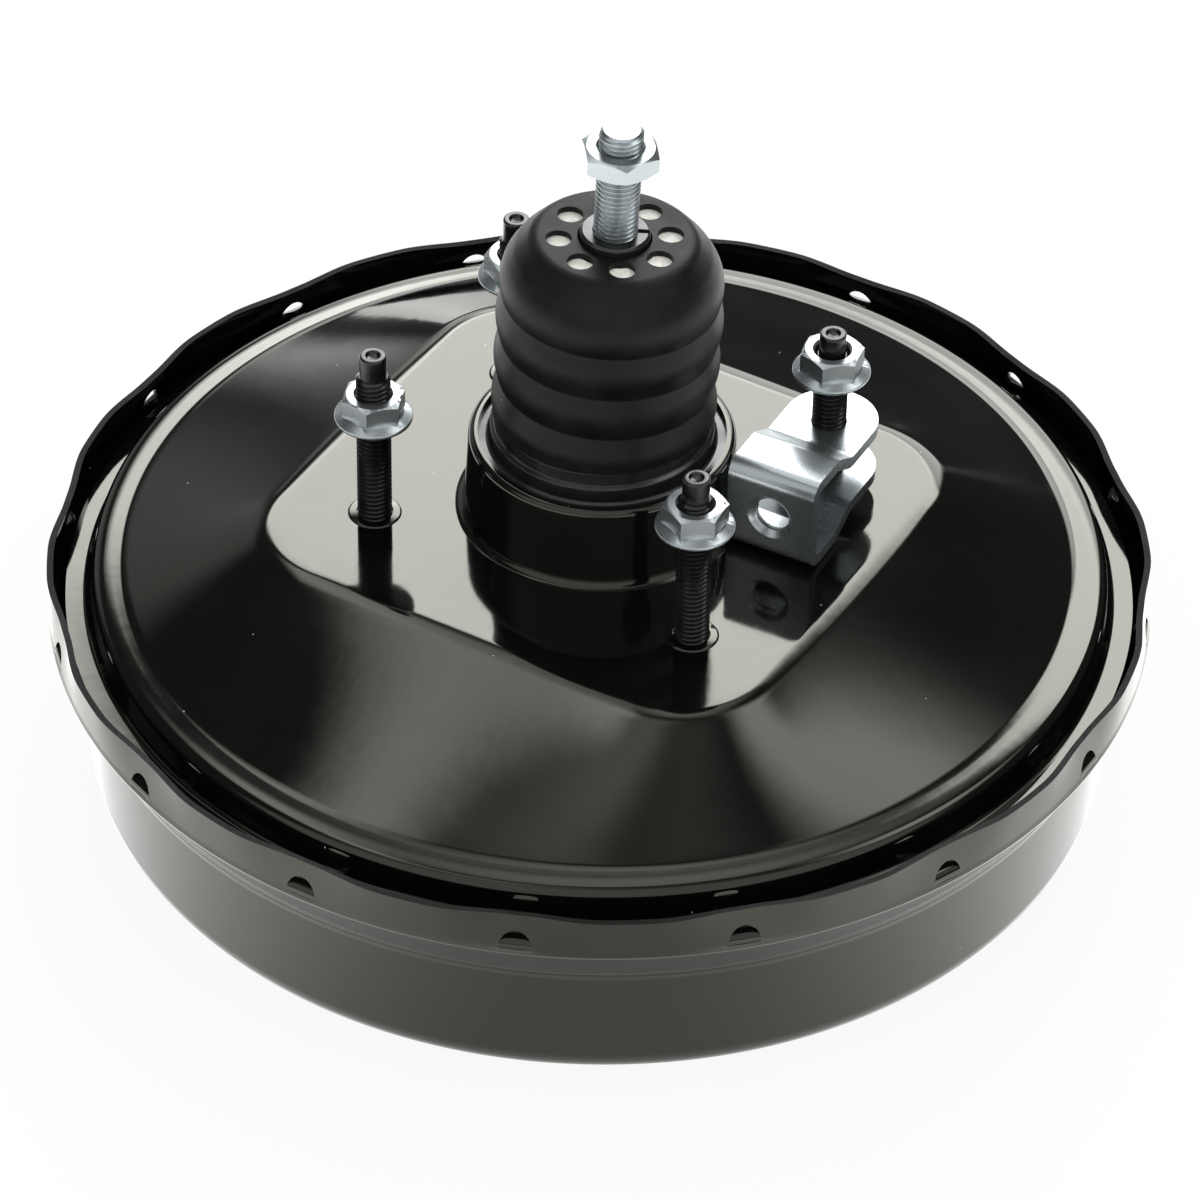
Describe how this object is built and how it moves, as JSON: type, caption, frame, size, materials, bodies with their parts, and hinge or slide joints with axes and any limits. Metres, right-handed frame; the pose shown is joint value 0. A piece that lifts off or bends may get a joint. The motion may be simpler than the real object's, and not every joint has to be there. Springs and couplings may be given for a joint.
{
  "type": "brake booster",
  "caption": "Vacuum brake booster: round two-part shell, ribbed boot round a threaded push rod, studs for the firewall and a loose fork head for the pedal.",
  "frame": {"origin": "centre of the flat front face the booster stands on, under the push rod's axis", "axes": "+Z from the master cylinder side to the pedal; X along the longer side of the firewall stud rectangle, Y along the shorter"},
  "size_m": [0.256, 0.256, 0.1731],
  "materials": {
    "gloss_black_paint": "deep gloss black paint",
    "black_steel": "satin black coated thread",
    "dark_steel": "dark coated pressed steel",
    "zinc": "bright clear zinc plate",
    "spring_steel": "plain steel",
    "rubber": "matt moulded rubber",
    "black_plastic": "glossy black moulding",
    "brown_plastic": "brown moulded resin",
    "pale_plastic": "low-friction pale plastic",
    "white_foam": "off-white filter felt"
  },
  "bodies": {
    "housing": {"front_shell": "gloss_black_paint", "rear_shell": "gloss_black_paint", "rear_reinforcement": "dark_steel", "firewall_studs": "black_steel", "flange_nut_left": "zinc", "flange_nut_front": "zinc", "flange_nut_right": "zinc", "flange_nut_rear": "zinc", "neck_collar": "gloss_black_paint", "neck_seal": "rubber", "neck_bearing": "pale_plastic", "front_reinforcement": "dark_steel", "master_cylinder_studs": "black_steel", "front_seal": "rubber", "front_seal_retainer": "dark_steel", "check_valve_grommet": "rubber", "check_valve_body": "black_plastic", "check_valve_spring": "spring_steel", "diaphragm": "rubber", "boot": "rubber"},
    "check_disc": {"check_valve_disc": "rubber"},
    "power_piston": {"valve_body": "brown_plastic", "diaphragm_plate": "dark_steel", "diaphragm_retainer": "dark_steel", "reaction_disc": "rubber", "output_rod": "spring_steel", "output_rod_tip": "spring_steel", "stop_key": "spring_steel", "poppet_retainer": "spring_steel", "poppet_valve": "rubber", "poppet_spring": "spring_steel", "silencer": "white_foam", "air_filter": "white_foam", "filter_pad": "white_foam", "return_spring": "spring_steel"},
    "plunger": {"air_valve_plunger": "spring_steel", "rod_return_spring": "spring_steel"},
    "push_rod": {"input_rod": "zinc", "jam_nut": "zinc", "rod_collar": "black_plastic"},
    "fork": {"fork_head": "zinc"}
  },
  "joints": [
    {"name": "power_stroke", "type": "slide", "parent": "housing", "child": "power_piston", "axis": [0, 0, -1], "range_m": [0, 0.032], "stiffness_N_per_m": 2500, "springref_m": -0.036, "deforming": ["return_spring", "diaphragm", "boot"]},
    {"name": "valve_stroke", "type": "slide", "parent": "power_piston", "child": "plunger", "axis": [0, 0, -1], "range_m": [0, 0.0015], "stiffness_N_per_m": 1500, "springref_m": -0.01, "deforming": ["rod_return_spring", "poppet_spring", "poppet_valve"]},
    {"name": "rod_swivel", "type": "hinge", "parent": "plunger", "child": "push_rod", "pos_m": [0, 0, 0.092], "axis": [-0.5, 0.866, 0], "range_deg": [-5.2, 0.8], "stiffness_Nm_per_rad": 0.6},
    {"name": "check_valve_lift", "type": "slide", "parent": "housing", "child": "check_disc", "axis": [0, 0, -1], "range_m": [0, 0.0015], "stiffness_N_per_m": 60, "springref_m": -0.003, "deforming": ["check_valve_spring"]},
    {"name": "fork_swing", "type": "hinge", "parent": "housing", "child": "fork", "pos_m": [0.042, 0.031, 0.081], "axis": [0, 0, 1], "range_deg": [0, 240]}
  ]
}
